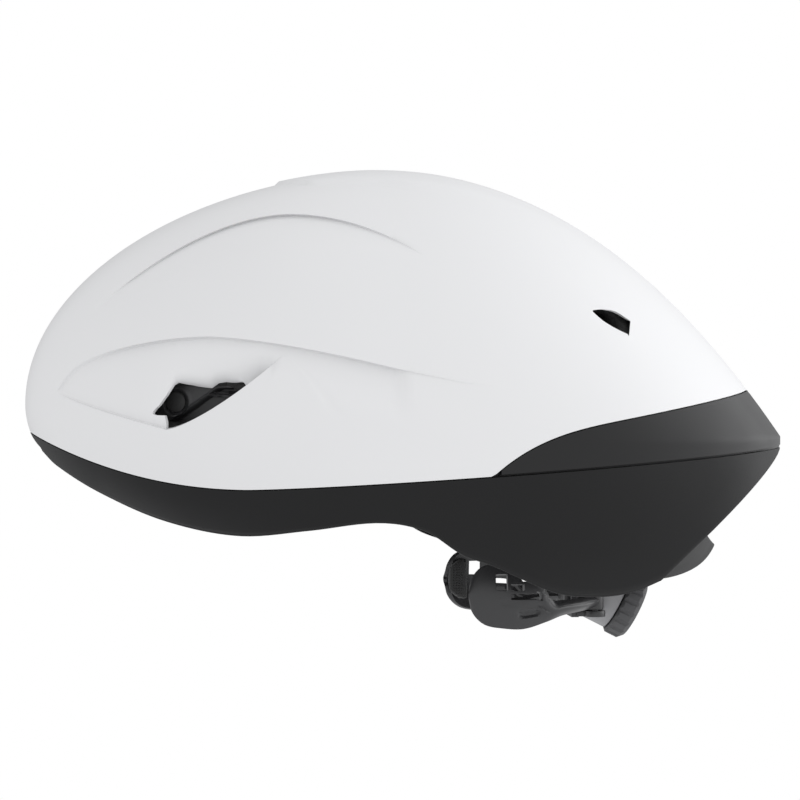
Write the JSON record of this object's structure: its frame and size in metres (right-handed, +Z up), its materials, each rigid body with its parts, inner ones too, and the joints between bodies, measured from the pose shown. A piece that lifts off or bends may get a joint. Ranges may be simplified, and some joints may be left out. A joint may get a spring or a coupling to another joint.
{
  "type": "aero road bike helmet",
  "caption": "Aero road bike helmet: painted shell with side intakes, dark tail and wrap shell, foam liner, pads and a dial-tightened cradle that slides on a ladder strap.",
  "frame": {"origin": "underside of the crown pad, where the top of the head bears, midway front to back in the hollow", "axes": "+Z up through the crown, the front faces -X, the tail points to +X, the left side is -Y"},
  "size_m": [0.3089, 0.206, 0.1919],
  "materials": {
    "shell_paint": "satin",
    "tail_satin": "satin",
    "lower_matte": "matte",
    "foam": "matte",
    "pad_cloth": "matte",
    "magnet_steel": "satin",
    "pin_steel": "satin",
    "housing_plastic": "satin",
    "dial_grip": "matte",
    "spool_plastic": "satin",
    "fitting_plastic": "satin",
    "cradle_plastic": "satin"
  },
  "bodies": {
    "helmet": {"outer_shell": "shell_paint", "tail_shell": "tail_satin", "lower_shell": "lower_matte", "eps_front": "foam", "eps_rear": "foam", "exhaust_tray": "lower_matte", "vent_insert_left": "fitting_plastic", "vent_insert_right": "fitting_plastic", "shield_magnet_left": "magnet_steel", "shield_magnet_right": "magnet_steel", "front_anchor_left": "fitting_plastic", "front_anchor_right": "fitting_plastic", "rear_anchor_left": "fitting_plastic", "rear_anchor_right": "fitting_plastic", "brow_pad": "pad_cloth", "crown_pad": "pad_cloth", "side_pad_left": "pad_cloth", "side_pad_right": "pad_cloth", "hanger_bracket": "fitting_plastic", "hanger_pin": "pin_steel"},
    "guide": {"ladder_guide": "cradle_plastic"},
    "cradle": {"ladder_strap": "cradle_plastic", "cradle_yoke": "cradle_plastic", "dial_housing": "housing_plastic", "housing_screws": "pin_steel", "wing_pins": "pin_steel"},
    "dial": {"dial_knob": "dial_grip", "lace_spool": "spool_plastic", "dial_screw": "pin_steel"},
    "wing_left": {"wing_left": "cradle_plastic", "wing_pad_left": "pad_cloth"},
    "wing_right": {"wing_right": "cradle_plastic", "wing_pad_right": "pad_cloth"}
  },
  "joints": [
    {"name": "guide_swing", "type": "hinge", "parent": "helmet", "child": "guide", "pos_m": [0.104, 0, -0.104], "axis": [0, 1, 0], "range_deg": [0, 12]},
    {"name": "height_slide", "type": "slide", "parent": "guide", "child": "cradle", "axis": [0, 0, -1], "range_m": [0, 0.018]},
    {"name": "dial_turn", "type": "hinge", "parent": "cradle", "child": "dial", "pos_m": [0.1223, 0, -0.149], "axis": [0.891, 0, -0.454], "range_deg": [0, 540]},
    {"name": "wing_left_close", "type": "hinge", "parent": "cradle", "child": "wing_left", "pos_m": [0.107, -0.017, -0.146], "axis": [0, 0, -1], "range_deg": [0, 10]},
    {"name": "wing_right_close", "type": "hinge", "parent": "cradle", "child": "wing_right", "pos_m": [0.107, 0.017, -0.146], "axis": [0, 0, 1], "range_deg": [0, 10]}
  ],
  "couplings": [
    {"joint": "guide_swing", "follows": "dial_turn", "ratio": 0.0222},
    {"joint": "wing_left_close", "follows": "dial_turn", "ratio": 0.0185},
    {"joint": "wing_right_close", "follows": "dial_turn", "ratio": 0.0185}
  ]
}
